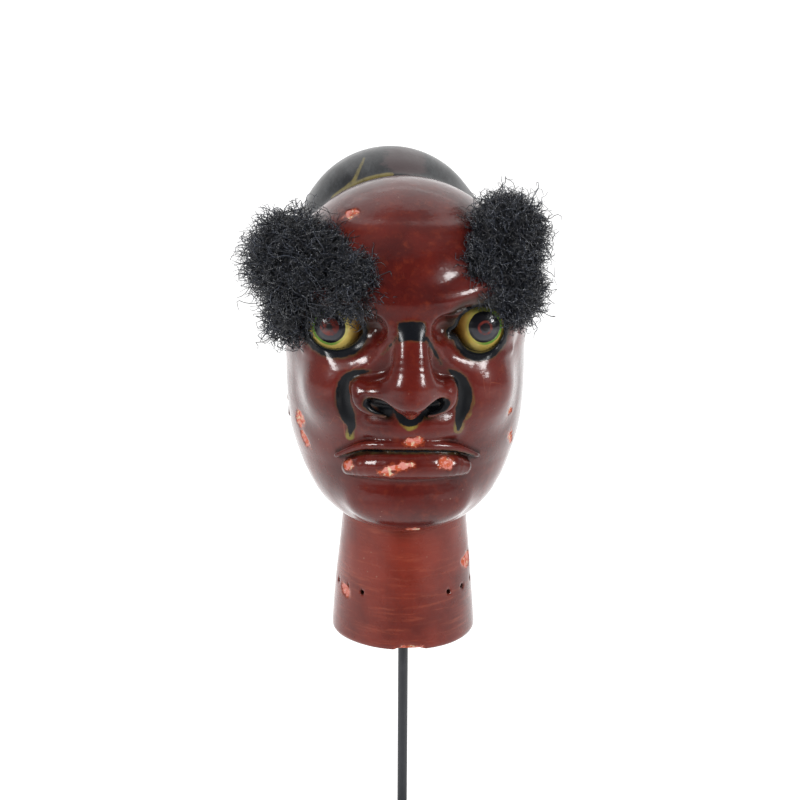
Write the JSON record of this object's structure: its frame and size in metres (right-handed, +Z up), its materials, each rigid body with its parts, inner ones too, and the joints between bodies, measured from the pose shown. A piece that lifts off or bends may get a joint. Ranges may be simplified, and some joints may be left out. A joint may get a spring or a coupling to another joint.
{
  "type": "hand puppet head",
  "caption": "Lacquered carved hand-puppet head with bushy hair brows and turning eyes, on a neck with a finger bore, carried by a rod and round base.",
  "frame": {"origin": "centre of the underside of the round base, on the rod's axis", "axes": "+Z up along the rod and the neck, the face looks along -Y, +X is to the viewer's right"},
  "size_m": [0.1, 0.1, 0.252],
  "materials": {
    "red_lacquer": "dark red lacquer over pale gesso on carved wood, worn and chipped",
    "black_lacquer": "black lacquer on carved wood, worn on top",
    "bare_wood": "bare turned or whittled wood",
    "eye_paint": "glossy painted wood",
    "hair": "coarse curly black hair",
    "brow_felt": "black felt",
    "brass_wire": "drawn brass wire, dulled",
    "black_steel": "black satin paint",
    "foot_felt": "dark felt"
  },
  "bodies": {
    "stand": {"felt_pad": "foot_felt", "base_plate": "black_steel", "display_rod": "black_steel"},
    "plug": {"mount_plug": "bare_wood"},
    "head": {"neck": "red_lacquer", "finger_sleeve": "bare_wood", "face_shell": "red_lacquer", "back_shell": "black_lacquer", "head_dowels": "bare_wood", "ear_left": "red_lacquer", "ear_right": "red_lacquer", "brow_pad_left": "brow_felt", "brow_pad_right": "brow_felt", "brow_tuft_left": "hair", "brow_tuft_right": "hair", "eye_pins": "brass_wire", "eye_bridge_upper": "bare_wood", "eye_bridge_lower": "bare_wood", "lever_bridge": "bare_wood", "lever_pin": "brass_wire", "centring_spring": "brass_wire"},
    "eye_left": {"eye_left": "eye_paint", "eye_stem_left": "bare_wood"},
    "eye_right": {"eye_right": "eye_paint", "eye_stem_right": "bare_wood"},
    "tie_bar": {"tie_bar": "bare_wood", "tie_pins": "brass_wire", "drive_pin": "brass_wire"},
    "finger_lever": {"finger_lever": "bare_wood"}
  },
  "joints": [
    {"name": "head_turn", "type": "hinge", "parent": "stand", "child": "plug", "pos_m": [0, 0, 0.11], "axis": [0, 0, 1], "continuous": true},
    {"name": "head_lift", "type": "slide", "parent": "plug", "child": "head", "axis": [0, 0, 1], "range_m": [0, 0.03]},
    {"name": "eye_left_turn", "type": "hinge", "parent": "head", "child": "eye_left", "pos_m": [-0.0205, -0.025, 0.203], "axis": [0, 0, 1], "range_deg": [-18, 18], "stiffness_Nm_per_rad": 0.002, "deforming": ["centring_spring"]},
    {"name": "eye_right_turn", "type": "hinge", "parent": "head", "child": "eye_right", "pos_m": [0.0205, -0.025, 0.203], "axis": [0, 0, 1], "range_deg": [-18, 18]},
    {"name": "tie_bar_swing", "type": "hinge", "parent": "eye_left", "child": "tie_bar", "pos_m": [-0.0205, -0.008, 0.2055], "axis": [0, 0, 1], "range_deg": [-18, 18]},
    {"name": "lever_rock", "type": "hinge", "parent": "head", "child": "finger_lever", "pos_m": [0, -0.0098, 0.173], "axis": [0, 1, 0], "range_deg": [-11, 11]}
  ],
  "couplings": [
    {"joint": "eye_right_turn", "follows": "eye_left_turn", "ratio": 1},
    {"joint": "tie_bar_swing", "follows": "eye_left_turn", "ratio": -1},
    {"joint": "lever_rock", "follows": "eye_left_turn", "ratio": -0.6}
  ]
}
